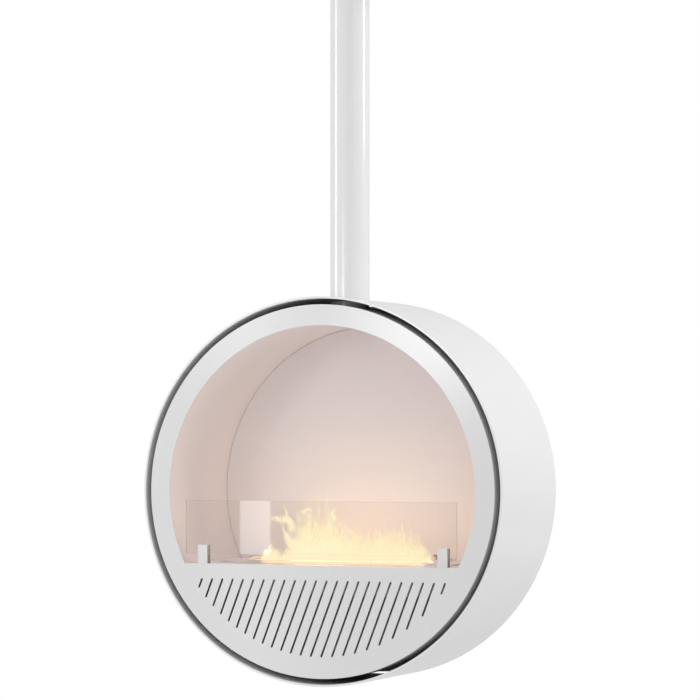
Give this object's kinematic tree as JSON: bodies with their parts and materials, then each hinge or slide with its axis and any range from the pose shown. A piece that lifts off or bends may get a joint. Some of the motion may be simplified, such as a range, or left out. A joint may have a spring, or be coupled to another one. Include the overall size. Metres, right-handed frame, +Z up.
{
  "type": "hanging fireplace",
  "caption": "Round open-fronted drum fireplace that turns on a ceiling tube, with a ring-shaped shadow gap, slanted air slots, a low glass pane and a lift-out burner.",
  "frame": {"origin": "centre of the ceiling plate's top face, on the ceiling", "axes": "+Z up, away from the room and along the pole; -Y out of the drum's open front; +X to the right when seen from the front"},
  "size_m": [0.8, 0.328, 1.5299],
  "materials": {
    "shell_paint": "satin white powder coat outside, matt pale grey inside the shadow gap",
    "panel_paint": "satin white powder coat",
    "white_paint": "satin white powder coat",
    "clip_paint": "satin white paint",
    "gap_paint": "matt pale grey paint",
    "black_paint": "matt black paint",
    "firebox_paint": "matt heat-resistant off-white paint, warm in the firelight",
    "bare_steel": "zinc plated",
    "dark_steel": "dark oiled",
    "zinc_fastener": "zinc plated",
    "bearing_steel": "ground and polished",
    "bronze": "turned",
    "stainless": "brushed",
    "glass": "clear toughened",
    "insulation": "ceramic fibre blanket",
    "fuel_wool": "ceramic fibre wool",
    "pad_rubber": "translucent silicone"
  },
  "bodies": {
    "ceiling_mount": {"ceiling_plate": "bare_steel", "hanger_spindle": "dark_steel", "castle_nut": "zinc_fastener", "split_pin": "zinc_fastener", "shaft_washer": "bearing_steel", "ceiling_cover": "white_paint", "cover_screws": "zinc_fastener"},
    "fireplace": {"bearing_balls": "bearing_steel", "ball_cage": "bronze", "housing_washer": "bearing_steel", "guide_bush": "bronze", "pole_head": "dark_steel", "pole_head_screws": "zinc_fastener", "pole": "white_paint", "pole_flange": "black_paint", "flange_bolts": "zinc_fastener", "saddle": "black_paint", "saddle_bolts": "black_paint", "outer_shell": "shell_paint", "shell_studs": "black_paint", "shell_spacers": "black_paint", "shell_nuts": "zinc_fastener", "inner_casing": "gap_paint", "front_panel": "panel_paint", "panel_nuts": "zinc_fastener", "rear_panel": "white_paint", "rear_panel_screws": "zinc_fastener", "firebox_liner": "firebox_paint", "firebox_back": "firebox_paint", "firebox_back_nuts": "zinc_fastener", "liner_insulation": "insulation", "back_insulation": "insulation", "hearth_floor": "firebox_paint", "hearth_rails": "dark_steel", "floor_screws": "zinc_fastener", "spill_tray": "stainless", "glass_clip_left": "clip_paint", "glass_clip_right": "clip_paint", "clip_pads": "pad_rubber", "clip_screws": "zinc_fastener"},
    "glass": {"glass_pane": "glass"},
    "burner": {"burner_tank": "stainless", "burner_top": "firebox_paint", "fuel_wool": "fuel_wool", "wool_screen": "dark_steel", "lid_guides": "firebox_paint", "guide_screws": "zinc_fastener"},
    "lid": {"burner_lid": "firebox_paint", "lid_knob": "dark_steel"}
  },
  "joints": [
    {"name": "swivel", "type": "hinge", "parent": "ceiling_mount", "child": "fireplace", "pos_m": [0, 0, 0], "axis": [0, 0, 1], "continuous": true},
    {"name": "burner_lift", "type": "slide", "parent": "fireplace", "child": "burner", "axis": [0, 0, 1], "range_m": [0, 0.07]},
    {"name": "lid_slide", "type": "slide", "parent": "burner", "child": "lid", "axis": [0, -1, 0], "range_m": [0, 0.052]},
    {"name": "glass_lift", "type": "slide", "parent": "fireplace", "child": "glass", "axis": [0, 0, 1], "range_m": [0, 0.03]}
  ]
}
